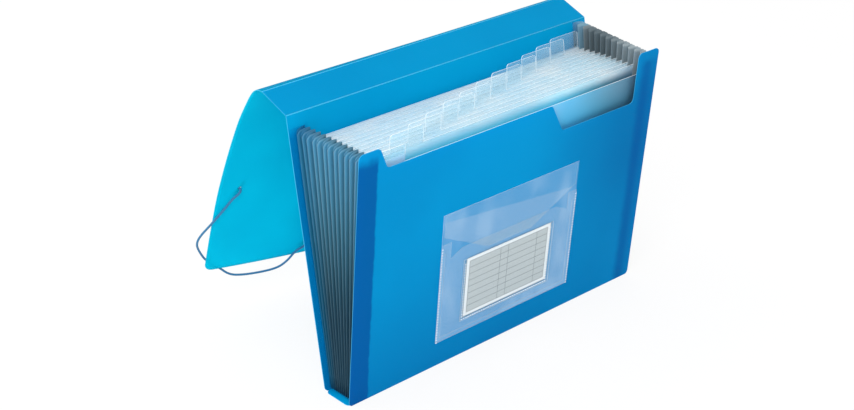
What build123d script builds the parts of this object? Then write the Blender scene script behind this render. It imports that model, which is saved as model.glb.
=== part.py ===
"""Accordion file folder with a hanging closing flap, a label pocket and two corner elastics.

The creased cover sheet is five panels that turn about their crease lines. Twelve index dividers
stand between the front and back covers and fan out from the base, and a pleated film gusset closes
each side. X runs along the width, the front cover faces -Y, and the base stands on Z = 0.
"""
import os
from math import asin, atan2, cos, radians, sin, tan

from build123d import *

os.makedirs("parts", exist_ok=True)

# Cover sheet, in millimetres
sheet_width = 332.0
sheet_thickness = 0.6
base_depth = 31.0
front_height = 230.0
back_height = 236.0
spine_depth = 31.0
flap_length = 226.0
crease_gap = 0.3
flap_gap = 0.9
corner_radius = 4.5
flap_corner_radius = 7.0

# Angles of the panels as they stand, in degrees from upright, forward negative
front_lean = -6.0
back_lean = 8.0
spine_tilt = 69.0

# Lean of the hanging flap from upright, at its left edge, middle and right edge, in degrees, and its bowed
# profile: a straight root that leaves the crease at an angle to the chord, a bent shoulder, then one long bow.
flap_lean_left = 28.1
flap_lean_middle = 20.4
flap_lean_right = 17.0
flap_root_angle = 54.0
flap_root = 10.0
flap_shoulder_radius = 9.0
flap_shoulder_angle = 5.35

# Top edge of the front cover
left_ear_width = 20.5
left_ear_slant = 8.0
right_ear_width = 25.5
shallow_cut = 19.0
deep_cut = 46.0
deep_cut_width = 87.0
deep_cut_slant = 15.0

# Dividers and their index tabs
divider_count = 12
divider_thickness = 0.6
divider_height = 213.0
front_divider_drop = 7.0
divider_clearance = 0.3
tab_width = 34.0
tab_height = 15.0
tab_margin = 1.0
tab_corner_radius = 2.5

# Pleated side gussets
gusset_film = 0.2
gusset_top = 223.0
gusset_foot = 2.4
gusset_clearance = 0.1
ridge_inset = 5.0
pleat_depth = 11.0
flange_inset = 1.0
fold_blunting = 0.5

# Label pocket on the front cover
film = 0.25
film_gap = 0.1
pocket_centre = 2.0
pocket_width = 155.0
pocket_foot = 24.0
pocket_front_height = 86.0
pocket_fold_height = 123.0
pocket_ear_width = 10.0
pocket_ear_rise = 9.5
pocket_notch_drop = 6.5
pocket_notch_run = 13.0
seam_width = 4.0
tuck_inset = 2.0
tuck_side = 21.0
tuck_overlap = 10.0
tongue_width = 50.0

# Index card and its sleeve
card_width = 97.0
card_height = 57.0
card_thickness = 0.3
card_play = 0.6
card_foot = 15.5
sleeve_rim = 3.0

# Corner elastics and their anchor bars
elastic_diameter = 2.0
anchor_near = 20.3
anchor_far = 95.3
anchor_low = 13.0
anchor_high = 92.0
anchor_hole_diameter = 3.0
bar_length = 18.0
bar_width = 2.2
bar_thickness = 1.4
bar_clearance = 0.1
bar_lean = 25.0
bar_lean_low = 37.0
bend_share = 0.45

# Route of an elastic from the upper anchor to the lower one: distance in from the flap's side edge,
# height above its bottom edge, and distance out from the middle of the sheet.
upper_exit = [(0.0, 0.0, 1.6), (-0.95, -1.3, 3.2), (-3.1, -4.2, 3.5)]
elastic_run = [
    (13.4, 83.5, 2.8),
    (8.0, 72.4, 2.1),
    (-2.4, 56.5, 1.9),
    (-10.6, 43.8, 1.2),
    (-11.6, 34.2, 0.2),
    (-6.9, 23.6, -1.2),
    (1.7, 9.7, -2.0),
    (14.9, -0.9, -2.1),
    (25.3, -11.1, -0.8),
    (37.3, -12.2, 1.2),
    (53.2, -11.3, 3.0),
    (68.7, -9.5, 3.8),
    (77.9, -3.4, 3.6),
    (84.9, 5.9, 3.2),
]
lower_exit = [(0.0, 0.0, 1.6), (-0.95, -1.3, 3.2), (-3.1, -4.2, 3.5)]

# Worked out from the sizes above
half_width = sheet_width / 2
half_sheet = sheet_thickness / 2
crease_setback = half_sheet + crease_gap
valley_x = half_width - ridge_inset - pleat_depth
ridge_x = half_width - ridge_inset
divider_width = 2 * (valley_x - divider_clearance)
divider_axis_z = sheet_thickness + divider_clearance + divider_thickness / 2
sheet_count = divider_count + 1
card_floor = pocket_foot + card_foot


def sheet_plane(y, z, tilt):
    """Plane of a standing sheet: local X is the width, local Y runs up the sheet from its crease."""
    normal = (0, -cos(radians(tilt)), sin(radians(tilt)))
    return Plane(origin=(0, y, z), x_dir=(1, 0, 0), z_dir=normal)


def section_plane(sheet):
    """Plane across a sheet, with local X up the sheet, for its rounded crease edges."""
    return Plane(origin=sheet.origin, x_dir=sheet.y_dir, z_dir=(1, 0, 0))


def beyond(sheet, distance):
    """The Y and Z of the point that lies that far up a sheet from its crease."""
    point = sheet.from_local_coords((0, distance, 0))
    return point.Y, point.Z


def panel(sheet, outline, radius, rounded, thickness, slot_start, slot_length):
    """A sheet with an outline in its plane, whose ends at the creases are half round."""
    with BuildPart() as made:
        with BuildSketch(sheet) as face:
            with BuildLine():
                Polyline(*outline, close=True)
            make_face()
            if rounded:
                fillet([face.vertices().sort_by_distance(outline[i])[0] for i in rounded], radius)
        extrude(amount=thickness, both=True)
        with BuildSketch(section_plane(sheet)):
            with Locations((slot_start - thickness / 2, 0)):
                SlotOverall(slot_length + thickness, thickness, align=(Align.MIN, Align.CENTER))
        extrude(amount=sheet_width, both=True, mode=Mode.INTERSECT)
    return made.part


def keep(part, name):
    """Labels a finished piece and writes it."""
    part.label = name
    export_step(part, f"parts/{name}.step")


front_plane = sheet_plane(-base_depth / 2, half_sheet, front_lean)
back_plane = sheet_plane(base_depth / 2, half_sheet, back_lean)
spine_plane = sheet_plane(*beyond(back_plane, back_height), spine_tilt)

# Base strip, which lies flat between the two bottom creases
with BuildPart() as base_strip:
    with BuildSketch() as strip:
        Rectangle(sheet_width, base_depth - 2 * crease_setback)
        fillet(strip.vertices(), corner_radius)
    extrude(amount=sheet_thickness)
keep(base_strip.part, "base_strip")

# Front cover, cut down between two ears so that the index tabs show
cut_top = front_height - shallow_cut
cut_floor = front_height - deep_cut
right_ear_x = half_width - right_ear_width
deep_left_x = right_ear_x - deep_cut_width
front_outline = [
    (-half_width, -sheet_thickness),
    (half_width, -sheet_thickness),
    (half_width, front_height),
    (right_ear_x, front_height),
    (right_ear_x, cut_floor),
    (deep_left_x, cut_floor),
    (deep_left_x - deep_cut_slant, cut_top),
    (-half_width + left_ear_width + left_ear_slant, cut_top),
    (-half_width + left_ear_width, front_height),
    (-half_width, front_height),
]
front_cover = panel(
    front_plane,
    front_outline,
    corner_radius,
    range(len(front_outline)),
    sheet_thickness,
    0,
    front_height + corner_radius,
)
keep(front_cover, "front_cover")

# Back cover, half round at the bottom crease and at the spine's crease
back_outline = [
    (-half_width, -sheet_thickness),
    (half_width, -sheet_thickness),
    (half_width, back_height + sheet_thickness),
    (-half_width, back_height + sheet_thickness),
]
back_cover = panel(back_plane, back_outline, corner_radius, (0, 1), sheet_thickness, 0, back_height)
keep(back_cover, "back_cover")

# Spine, the narrow panel that lies over the top when the folder is shut
spine_outline = [
    (-half_width, crease_setback),
    (half_width, crease_setback),
    (half_width, spine_depth + sheet_thickness),
    (-half_width, spine_depth + sheet_thickness),
]
top_spine = panel(spine_plane, spine_outline, 0, (), sheet_thickness, 0, spine_depth)
keep(top_spine, "top_spine")

# Profile of the closing flap, with X down its chord from the crease and Y towards its inner face
root_slope = radians(flap_root_angle)
shoulder_slope = radians(flap_shoulder_angle)
root_start = (half_sheet + flap_gap) * cos(root_slope)
root_end = Vector(cos(root_slope), sin(root_slope)) * flap_root
shoulder_centre = root_end + Vector(sin(root_slope), -cos(root_slope)) * flap_shoulder_radius
shoulder_end = shoulder_centre + Vector(-sin(shoulder_slope), cos(shoulder_slope)) * flap_shoulder_radius
bow_chord = Vector(flap_length, 0) - shoulder_end
bow_radius = bow_chord.length / 2 / sin(shoulder_slope - atan2(bow_chord.Y, bow_chord.X))
bow_centre = shoulder_end + Vector(sin(shoulder_slope), -cos(shoulder_slope)) * bow_radius
flap_crease = beyond(spine_plane, spine_depth)
flap_stations = [(-half_width, flap_lean_left), (0.0, flap_lean_middle), (half_width, flap_lean_right)]


def flap_profile(distance, inward=0.0):
    """Point of the profile at a distance down the chord, moved square to the sheet towards its inner face."""
    if distance < root_end.X:
        slope = root_slope
        middle = root_end * (distance / root_end.X)
    else:
        on_shoulder = distance < shoulder_end.X
        centre = shoulder_centre if on_shoulder else bow_centre
        radius = flap_shoulder_radius if on_shoulder else bow_radius
        slope = asin((centre.X - distance) / radius)
        middle = centre + Vector(-sin(slope), cos(slope)) * radius
    return middle + Vector(-sin(slope), cos(slope)) * inward


def flap_section(x, hang):
    """Plane across the flap, with local X down its chord and local Y towards its inner face."""
    down = (0, sin(radians(hang)), -cos(radians(hang)))
    return Plane(origin=(x, *flap_crease), x_dir=down, z_dir=(1, 0, 0))


def flap_point(x, distance, inward=0.0):
    """Point on the flap, or beside it towards its inner face."""
    near, far = flap_stations[:2] if x < 0 else flap_stations[1:]
    spot = flap_profile(distance, inward)
    first = flap_section(*near).from_local_coords(spot)
    second = flap_section(*far).from_local_coords(spot)
    return first + (second - first) * ((x - near[0]) / (far[0] - near[0]))


def flap_spot(side, spot):
    """Plane on the flap at a spot in from its side edge and up from its bottom edge, with local Y down the sheet."""
    x = side * (half_width - spot[0])
    distance = flap_length - spot[1]
    reach = bar_width / 2
    across = flap_point(x + reach, distance) - flap_point(x - reach, distance)
    down = flap_point(x, distance + reach) - flap_point(x, distance - reach)
    return Plane(origin=flap_point(x, distance), x_dir=across, z_dir=across.cross(down))


# Closing flap, bowed and a little twisted as it hangs, with a hole for each end of the two elastics
upper_anchor = (anchor_near, anchor_high)
lower_anchor = (anchor_far, anchor_low)
flap_corner_inset = flap_corner_radius - half_sheet
with BuildPart() as closing_flap:
    for station in flap_stations:
        with BuildSketch(flap_section(*station)):
            with BuildLine():
                ends = []
                for face in (-half_sheet, half_sheet):
                    root = Line(flap_profile(root_start, face), flap_profile(root_end.X, face))
                    bend = flap_profile((root_end.X + shoulder_end.X) / 2, face)
                    shoulder = ThreePointArc(root @ 1, bend, flap_profile(shoulder_end.X, face))
                    belly = flap_profile((shoulder_end.X + flap_length) / 2, face)
                    bow = ThreePointArc(shoulder @ 1, belly, flap_profile(flap_length, face))
                    ends += [root @ 0, bow @ 1]
                Line(ends[0], ends[2])
                Line(ends[1], ends[3])
            make_face()
    loft(ruled=True)
    for side in (-1, 1):
        with BuildSketch(flap_spot(side, (flap_corner_inset, flap_corner_inset))):
            with Locations((side * flap_corner_radius, flap_corner_radius)):
                Rectangle(2 * flap_corner_radius, 2 * flap_corner_radius)
            Circle(flap_corner_radius, mode=Mode.SUBTRACT)
        extrude(amount=sheet_thickness, both=True, mode=Mode.SUBTRACT)
        for anchor in (upper_anchor, lower_anchor):
            with BuildSketch(flap_spot(side, anchor)):
                Circle(anchor_hole_diameter / 2)
            extrude(amount=sheet_thickness, both=True, mode=Mode.SUBTRACT)
keep(closing_flap.part, "closing_flap")

# Dividers, from the front one with its tab at the left to the back one with its tab at the right
tab_pitch = (divider_width - 2 * tab_margin - tab_width) / (divider_count - 1)
first_tab_x = -divider_width / 2 + tab_margin


def share_back(number):
    """How far back a sheet stands, from 0 at the front cover to 1 at the back cover."""
    return number / sheet_count


def sheet_lean(number):
    """Lean of a sheet of the fan."""
    return front_lean + (back_lean - front_lean) * share_back(number)


def sheet_foot(number):
    """Y of a sheet's crease on the base."""
    return -base_depth / 2 + base_depth * share_back(number)


for number in range(1, divider_count + 1):
    height = divider_height - (front_divider_drop if number == 1 else 0)
    tab_left = first_tab_x + tab_pitch * (number - 1)
    tab_right = tab_left + tab_width
    divider_outline = [
        (-divider_width / 2, -divider_thickness),
        (divider_width / 2, -divider_thickness),
        (divider_width / 2, height),
        (tab_right, height),
        (tab_right, height + tab_height),
        (tab_left, height + tab_height),
        (tab_left, height),
        (-divider_width / 2, height),
    ]
    divider = panel(
        sheet_plane(sheet_foot(number), divider_axis_z, sheet_lean(number)),
        divider_outline,
        tab_corner_radius,
        (4, 5),
        divider_thickness,
        0,
        height + 2 * tab_height,
    )
    keep(divider, f"divider_{number:02d}")


def sheet_y(number, z):
    """Y of the middle of a sheet of the fan at a height."""
    covers = number in (0, sheet_count)
    axis_z = half_sheet if covers else divider_axis_z
    return sheet_foot(number) + (z - axis_z) * tan(radians(sheet_lean(number)))


def gusset_section(side, z):
    """Outline of a pleated film at a height: a flange on each cover, a valley at each divider, a ridge between."""
    flange_x = half_width - flange_inset
    film_offset = half_sheet + gusset_clearance
    front_y = sheet_y(0, z) + film_offset / cos(radians(front_lean))
    back_y = sheet_y(sheet_count, z) - film_offset / cos(radians(back_lean))
    valleys = [sheet_y(number, z) for number in range(1, divider_count + 1)]
    stops = [front_y + gusset_film, *valleys, back_y - gusset_film]
    ridges = [(near + far) / 2 for near, far in zip(stops, stops[1:])]
    inner = [(flange_x, front_y), (valley_x, front_y), (valley_x, front_y + 2 * gusset_film)]
    outer = [(flange_x, front_y + gusset_film), (valley_x + fold_blunting, front_y + gusset_film)]
    for ridge, valley in zip(ridges, valleys):
        inner.append((ridge_x - fold_blunting, ridge))
        inner += [(valley_x, valley - gusset_film), (valley_x, valley + gusset_film)]
        outer += [(ridge_x, ridge - gusset_film), (ridge_x, ridge + gusset_film)]
        outer.append((valley_x + fold_blunting, valley))
    inner.append((ridge_x - fold_blunting, ridges[-1]))
    inner += [(valley_x, back_y - 2 * gusset_film), (valley_x, back_y), (flange_x, back_y)]
    outer += [(ridge_x, ridges[-1] - gusset_film), (ridge_x, ridges[-1] + gusset_film)]
    outer += [(valley_x + fold_blunting, back_y - gusset_film), (flange_x, back_y - gusset_film)]
    return [(side * x, y) for x, y in inner + outer[::-1]]


# Side gussets, ruled from the crowded folds at the foot to the spread ones at the top
for name, side in (("gusset_left", -1), ("gusset_right", 1)):
    with BuildPart() as gusset:
        for level in (gusset_foot, gusset_top):
            with BuildSketch(Plane.XY.offset(level)):
                with BuildLine():
                    Polyline(*gusset_section(side, level), close=True)
                make_face()
        loft(ruled=True)
    keep(gusset.part, name)

# Label pocket: its films lie one on another on the outer face of the front cover
back_film_z = half_sheet
tuck_z = back_film_z + film + film_gap
front_film_z = tuck_z + film + film_gap
card_z = front_film_z + film + film_gap
sleeve_z = card_z + card_thickness + film_gap
pocket_left = pocket_centre - pocket_width / 2
pocket_right = pocket_centre + pocket_width / 2
pocket_fold = pocket_foot + pocket_fold_height
pocket_top = pocket_foot + pocket_front_height

with BuildPart() as pocket_back_sheet:
    with BuildSketch(front_plane.offset(back_film_z)):
        with Locations((pocket_centre, pocket_foot)):
            Rectangle(pocket_width, pocket_fold_height, align=(Align.CENTER, Align.MIN))
    extrude(amount=film)
keep(pocket_back_sheet.part, "pocket_back_sheet")

with BuildPart() as pocket_tuck_flap:
    with BuildSketch(front_plane.offset(tuck_z)):
        with BuildLine():
            Polyline(
                (pocket_left + tuck_inset, pocket_fold),
                (pocket_left + tuck_inset, pocket_fold - tuck_side),
                (pocket_centre - tongue_width / 2, pocket_top - tuck_overlap),
                (pocket_centre + tongue_width / 2, pocket_top - tuck_overlap),
                (pocket_right - tuck_inset, pocket_fold - tuck_side),
                (pocket_right - tuck_inset, pocket_fold),
                close=True,
            )
        make_face()
    extrude(amount=film)
keep(pocket_tuck_flap.part, "pocket_tuck_flap")

# Front film of the pocket: ears and notches at its top edge, and weld seams down to the back film
notch_left = pocket_left + pocket_ear_width
notch_right = pocket_right - pocket_ear_width
notch_floor = pocket_top - pocket_notch_drop
ear_top = pocket_top + pocket_ear_rise
with BuildPart() as pocket_front_sheet:
    with BuildSketch(front_plane.offset(front_film_z)):
        with BuildLine():
            Polyline(
                (pocket_left, pocket_foot),
                (pocket_right, pocket_foot),
                (pocket_right, ear_top),
                (notch_right, ear_top),
                (notch_right, notch_floor),
                (notch_right - pocket_notch_run, pocket_top),
                (notch_left + pocket_notch_run, pocket_top),
                (notch_left, notch_floor),
                (notch_left, ear_top),
                (pocket_left, ear_top),
                close=True,
            )
        make_face()
    extrude(amount=film)
    with BuildSketch(front_plane.offset(back_film_z + film)):
        with Locations((pocket_centre, pocket_foot)):
            Rectangle(pocket_width, pocket_front_height, align=(Align.CENTER, Align.MIN))
        with Locations((pocket_centre, pocket_foot + seam_width)):
            Rectangle(
                pocket_width - 2 * seam_width,
                pocket_front_height,
                align=(Align.CENTER, Align.MIN),
                mode=Mode.SUBTRACT,
            )
    extrude(amount=front_film_z - back_film_z - film)
keep(pocket_front_sheet.part, "pocket_front_sheet")

# Sleeve of the index card, open at the top, and the card inside it
sleeve_width = card_width + 2 * (card_play + sleeve_rim)
sleeve_foot = card_floor - card_play - sleeve_rim
sleeve_height = card_height + card_play + sleeve_rim
with BuildPart() as card_sleeve:
    with BuildSketch(front_plane.offset(sleeve_z)):
        with Locations((pocket_centre, sleeve_foot)):
            Rectangle(sleeve_width, sleeve_height, align=(Align.CENTER, Align.MIN))
    extrude(amount=film)
    with BuildSketch(front_plane.offset(front_film_z + film)):
        with Locations((pocket_centre, sleeve_foot)):
            Rectangle(sleeve_width, sleeve_height, align=(Align.CENTER, Align.MIN))
        with Locations((pocket_centre, sleeve_foot + sleeve_rim)):
            Rectangle(
                sleeve_width - 2 * sleeve_rim,
                sleeve_height,
                align=(Align.CENTER, Align.MIN),
                mode=Mode.SUBTRACT,
            )
    extrude(amount=sleeve_z - front_film_z - film)
keep(card_sleeve.part, "card_sleeve")

with BuildPart() as index_card:
    with BuildSketch(front_plane.offset(card_z)):
        with Locations((pocket_centre, card_floor)):
            Rectangle(card_width, card_height, align=(Align.CENTER, Align.MIN))
    extrude(amount=card_thickness)
keep(index_card.part, "index_card")


def arc_radii(points):
    """The largest radius that the two runs at each corner of a route leave room for."""
    radii = []
    for before, here, after in zip(points, points[1:], points[2:]):
        shorter = min((here - before).length, (after - here).length)
        turn = (here - before).get_angle(after - here)
        radii.append(bend_share * shorter / tan(radians(turn / 2)))
    return radii


# Elastics: each end sits on an anchor bar behind the flap and comes out through a hole
bar_face = half_sheet + bar_clearance


def exit_points(side, anchor, offsets):
    """Points from an anchor bar's face out through its hole, in the plane of the flap there."""
    spot = flap_spot(side, anchor)
    offsets = [(0.0, 0.0, -bar_face), *offsets]
    return [spot.from_local_coords((-side * inward, -height, -stand)) for inward, height, stand in offsets]


for name, side in (("left", -1), ("right", 1)):
    run = [
        flap_point(side * (half_width - inward), flap_length - height, -stand)
        for inward, height, stand in elastic_run
    ]
    lower_end = exit_points(side, lower_anchor, lower_exit)
    route = [*exit_points(side, upper_anchor, upper_exit), *run, *lower_end[::-1]]
    radii = arc_radii(route)
    with BuildPart() as elastic:
        with BuildLine() as path:
            FilletPolyline(*route, radius=radii)
        with BuildSketch(Plane(origin=path.line @ 0, z_dir=path.line % 0)) as cord_end:
            Circle(elastic_diameter / 2)
        sweep()
    keep(elastic.part, f"elastic_{name}")
    print(f"elastic_{name} radii", [round(radius, 1) for radius in radii])
    length = path.wire().length
    swept = cord_end.sketch.area * length
    print(f"elastic_{name} length {length:.1f}, volume {elastic.part.volume:.1f} of {swept:.1f}")

    with BuildPart() as bars:
        for anchor, lean in ((upper_anchor, bar_lean), (lower_anchor, bar_lean_low)):
            with BuildSketch(flap_spot(side, anchor).offset(bar_face)):
                SlotOverall(bar_length, bar_width, rotation=90 - side * lean)
            extrude(amount=bar_thickness)
    keep(bars.part, f"elastic_bars_{name}")
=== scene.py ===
"""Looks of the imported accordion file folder: bowed flap, elastics, pleated gussets, films and stage.

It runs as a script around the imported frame. Lengths are in metres, in the frame's own axes.
"""

from math import cos, pi, radians, sin, tan

import bpy
import numpy as np
from bpy.props import FloatProperty, FloatVectorProperty, IntProperty, PointerProperty
from mathutils import Matrix, Vector


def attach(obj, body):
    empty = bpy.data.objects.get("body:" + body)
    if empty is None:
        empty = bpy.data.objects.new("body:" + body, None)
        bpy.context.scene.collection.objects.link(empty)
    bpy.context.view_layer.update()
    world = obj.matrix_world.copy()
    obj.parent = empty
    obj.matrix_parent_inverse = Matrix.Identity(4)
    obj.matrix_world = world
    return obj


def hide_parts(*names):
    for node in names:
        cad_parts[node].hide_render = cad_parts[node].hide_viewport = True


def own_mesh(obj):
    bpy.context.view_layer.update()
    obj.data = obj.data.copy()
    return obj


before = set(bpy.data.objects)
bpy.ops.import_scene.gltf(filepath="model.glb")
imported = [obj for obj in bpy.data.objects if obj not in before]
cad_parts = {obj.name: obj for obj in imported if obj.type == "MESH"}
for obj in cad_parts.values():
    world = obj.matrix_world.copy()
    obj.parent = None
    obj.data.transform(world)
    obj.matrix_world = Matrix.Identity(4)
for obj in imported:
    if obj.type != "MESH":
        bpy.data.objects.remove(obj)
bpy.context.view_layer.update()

bl_info = {
    "name": "Accordion File Folder",
    "version": (1, 0, 0),
    "blender": (4, 5, 0),
    "location": "View3D > Sidebar > Folder",
    "description": "Dresses the packed accordion file folder and sets it on its stage",
    "category": "Object",
}

MM = 0.001
SIDES = (("left", -1), ("right", 1))

# Sizes that the solids have
HALF_WIDTH = 166 * MM
SHEET = 0.6 * MM
BASE_DEPTH = 31 * MM
BACK_HEIGHT = 236 * MM
SPINE_DEPTH = 31 * MM
FRONT_LEAN = radians(-6)
BACK_LEAN = radians(8)
SPINE_TILT = radians(69)
FLAP_LENGTH = 226 * MM
FLAP_CORNER = 7 * MM
DIVIDERS = 12
LAST_SHEET = DIVIDERS + 1
DIVIDER_FOOT = 1.2 * MM
VALLEY_X = 150 * MM
RIDGE_X = 161 * MM
FLANGE_X = 165 * MM
GUSSET_FOOT = 2.4 * MM
GUSSET_TOP = 223 * MM
POCKET_CENTRE = 2 * MM
POCKET_FOOT = 24 * MM
POCKET_WIDTH = 155 * MM
POCKET_LEFT = POCKET_CENTRE - POCKET_WIDTH / 2
POCKET_TOP = 110 * MM
POCKET_EAR = 119.5 * MM
POCKET_FACE = 1.25 * MM
SEAM = 4 * MM
CARD_FOOT = 39.5 * MM
CARD_WIDTH = 97 * MM
CARD_HEIGHT = 57 * MM
CARD_FACE = 1.65 * MM
SLEEVE_FACE = 2.0 * MM
ANCHOR_HOLE = 3 * MM

# Ends of an elastic: in from the flap's side edge, up from its bottom edge, and the lean of the bar there
ANCHORS = ((20.3 * MM, 92 * MM, radians(25)), (95.3 * MM, 13 * MM, radians(37)))

# Gap between the crease and the flap's root, and the bead on the spine's end that closes it
FLAP_GAP = 0.65 * MM
LIP_TILT = radians(82)
LIP_REACH = 1.03 * MM
LIP_RADIUS = 0.42 * MM

# Height of the pressed strips inside the pocket's seams, out from the middle of the cover
SEAM_LEVEL = 0.6 * MM

# Bend of the pocket's tuck flap, where its painted reflection changes: its height at the pocket's left
# side, and how it falls to the right
BEND_HEIGHT = 139.5 * MM
BEND_FALL = 0.109

# Heights where the dividers are palest, above their painted blue light and shade, and where their tabs
# begin
DIVIDER_PALE = 211.5 * MM
FRONT_DIVIDER_PALE = 207.5 * MM
TAB_BEGINS = (211 * MM, 214.5 * MM)

# Shares of a pleat's height where its rows of points are, closer together at its top
PLEAT_LEVELS = np.concatenate([np.linspace(0, 0.94, 16), np.linspace(0.955, 1, 5)])

# Share of its radius that a pleat's shoulder falls
SHOULDER_DROP = 0.75

# Slight waver of a pleat's walls: its size, and its turn for each metre of height and from pleat to pleat
SWAY = 0.5 * MM
SWAY_RATE = 21
SWAY_SHIFT = 1.7

# Turn of the elastic's braid for each metre along it and for one round of it
BRAID_ALONG = 4200.0
BRAID_AROUND = 37.7

# Form of a weld dot before it is scaled
WELD_DOT_FORM = {"Vertices": 8, "Radius Top": 0.7, "Radius Bottom": 1.0, "Depth": 1.0}

# Pale tone of the weld dots, and painted highlight on the cut edges of the pocket's films
FILM_PALE_AND_HIGHLIGHT = (0.9, 0.95, 1.0)

# The camera, fitted to the corners of the covers
PHOTO_WIDTH_PX = 854
FOCAL_LENGTH_PX = 1564.9
SENSOR_WIDTH = 36.0
CAMERA_PLACE = Vector((-0.81565, -0.8555, 0.6969))
CAMERA_TURN = radians(-41.229)
CAMERA_RISE = radians(26.002)
CAMERA_ROLL = radians(-0.835)

# Each lamp's name, place, target, width and power
LAMPS = (
    ("key_light", (-1.2, -0.9, 1.3), (0, 0, 0.1), 1.0, 20.0),
    ("back_light", (-0.9, 1.9, 1.2), (0, 0.1, 0.12), 1.5, 16.0),
)


def length_property(name, description, default):
    return FloatProperty(name=name, description=description, default=default, unit="LENGTH")


def angle_property(name, description, default):
    return FloatProperty(name=name, description=description, default=default, subtype="ANGLE")


def colour_property(name, description, default):
    return FloatVectorProperty(name=name, description=description, default=default, subtype="COLOR")


class FolderSizes(bpy.types.PropertyGroup):
    """Sizes of the soft forms that the solids don't have."""

    flap_hang: angle_property("Flap hang", "Angle of the flap from upright at its left edge", radians(28.1))
    flap_hang_right: angle_property(
        "Flap hang at the right", "Angle of the flap from upright at its right edge", radians(17)
    )
    flap_twist_shape: FloatProperty(
        name="Twist shape",
        description="How the hang eases off from left to right: 1 is even",
        default=1.71,
        min=1,
    )
    crease_radius: length_property("Crease radius", "Radius of the pressed bead along a crease", 0.45 * MM)
    cord_diameter: length_property("Elastic diameter", "Diameter of the covered elastic", 2 * MM)
    film: length_property("Gusset film", "Thickness of the gusset's film", 0.2 * MM)
    ridge_round: length_property("Ridge rounding", "Length over which a pleat's ridge rounds off", 2.6 * MM)
    shoulder: length_property("Pleat shoulder", "Radius of the rounded top corner of a pleat", 6 * MM)
    rise_front: length_property(
        "Right gusset rise, front", "Height of the right gusset above the left one at the front", 3 * MM
    )
    rise_back: length_property(
        "Right gusset rise, back", "Height of the right gusset above the left one at the back", 10 * MM
    )
    bulge: length_property(
        "Right gusset bulge", "How far the right gusset's last ridge stands out at its top", 3.5 * MM
    )
    weld_pitch: length_property("Weld pitch", "Distance between the dots of a weld seam", 2.6 * MM)
    weld_dot: length_property("Weld dot", "Radius of a dot of a weld seam", 0.55 * MM)
    ruled_lines: IntProperty(
        name="Ruled lines",
        description="Number of lines across the index card",
        default=9,
        min=2,
    )


class FolderColours(bpy.types.PropertyGroup):
    """Colours of the finishes."""

    cover: colour_property("Cover", "Translucent sheet at the front and the base", (0.0, 0.35, 0.72))
    # A slightly deeper copy of the cover's colour: painted shade on the back cover and the spine
    cover_rear_shaded: colour_property("Cover, rear", "Cover sheet at the back and the spine", (0.0, 0.335, 0.64))
    # A lit copy of the cover's colour: painted light on the flap, which hangs against the light
    cover_painted_lit: colour_property("Cover, light", "Cover sheet hung against the light", (0.0, 0.7, 0.86))
    cover_deep: colour_property("Cover, deep", "Cover sheet where it lies in shade", (0.0, 0.15, 0.44))
    # Welded gusset flange behind the cover sheet, darkened as painted shade
    cover_band_shade: colour_property("Cover band", "Cover sheet with a gusset welded to it", (0.0, 0.105, 0.4))
    # Painted highlight on the cover's cut edges and creases
    cover_edge_highlight: colour_property("Cover edge", "Cut edges and creases of the cover sheet", (0.1, 0.6, 0.9))
    gusset: colour_property("Gusset", "Film of the left gusset", (0.15, 0.51, 0.71))
    # Painted shade at a gusset's foot, deep between the covers
    gusset_foot_shade: colour_property("Gusset foot", "Film of a gusset towards the base", (0.043, 0.135, 0.21))
    # Painted highlight on the left gusset's ridges and rim
    gusset_ridge_highlight: colour_property("Gusset ridge", "Folded ridges of the left gusset", (0.29, 0.49, 0.61))
    # Painted light: the back cover's blue seen through the left gusset's rear pleats
    gusset_rear_lit_through: colour_property("Gusset rear", "Rear pleats of the left gusset", (0.0, 0.26, 0.5))
    # A lit copy of the gusset film: painted light through the right gusset
    right_gusset_lit: colour_property("Right gusset", "Film of the right gusset", (0.55, 0.62, 0.65))
    # Painted highlight on the right gusset's ridges and rim
    right_ridge_highlight: colour_property("Right ridge", "Folded ridges of the right gusset", (0.66, 0.7, 0.71))
    # Painted shade behind the middle of the right gusset
    right_deep_shade: colour_property("Right deep", "Right gusset where it is darkest", (0.16, 0.23, 0.27))
    # Painted light: the back cover's blue seen through the right gusset's rear pleats
    right_rear_lit_through: colour_property("Right rear", "Rear pleats of the right gusset", (0.3, 0.62, 0.78))
    divider: colour_property("Divider", "Frosted film of the dividers", (0.8, 0.94, 1.0))
    # Pale haze of the dividers, and the painted highlight on their cut edges
    divider_haze_and_highlight: colour_property("Divider edge", "Cut edges and haze of the dividers", (0.96, 0.99, 1.0))
    # Painted light and shade below the dividers' tops: the covers' blue through the films, and the stack's
    # shade
    divider_painted_blue: colour_property("Divider, deep", "Dividers below their tops", (0.11, 0.62, 0.93))
    # Painted light on the second divider below its top, where the front cover shades it
    divider_lit: colour_property("Divider, lit", "Second divider below its top", (0.15, 0.84, 1.0))
    divider_shade: colour_property("Divider, shade", "Dividers in shade at the right", (0.06, 0.24, 0.38))
    # Painted shade over the dividers at the right
    divider_grey_shade: colour_property("Divider, dull", "Grey over the dividers at the right", (0.5, 0.66, 0.75))
    divider_tab: colour_property("Divider tab", "Tint of the tabs", (0.62, 0.92, 1.0))
    pocket: colour_property("Pocket", "Clear film of the label pocket", (0.8, 0.93, 1.0))
    pocket_back: colour_property("Pocket back", "Pocket film on the blue cover", (0.065, 0.28, 0.54))
    card: colour_property("Card", "Paper of the index card", (0.76, 0.78, 0.8))
    print_grey: colour_property("Card field", "Printed field of the index card", (0.41, 0.44, 0.45))
    ink: colour_property("Card lines", "Printed lines of the index card", (0.17, 0.19, 0.2))
    elastic: colour_property("Elastic", "Covered elastic and its anchor bars", (0.012, 0.14, 0.29))


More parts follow.
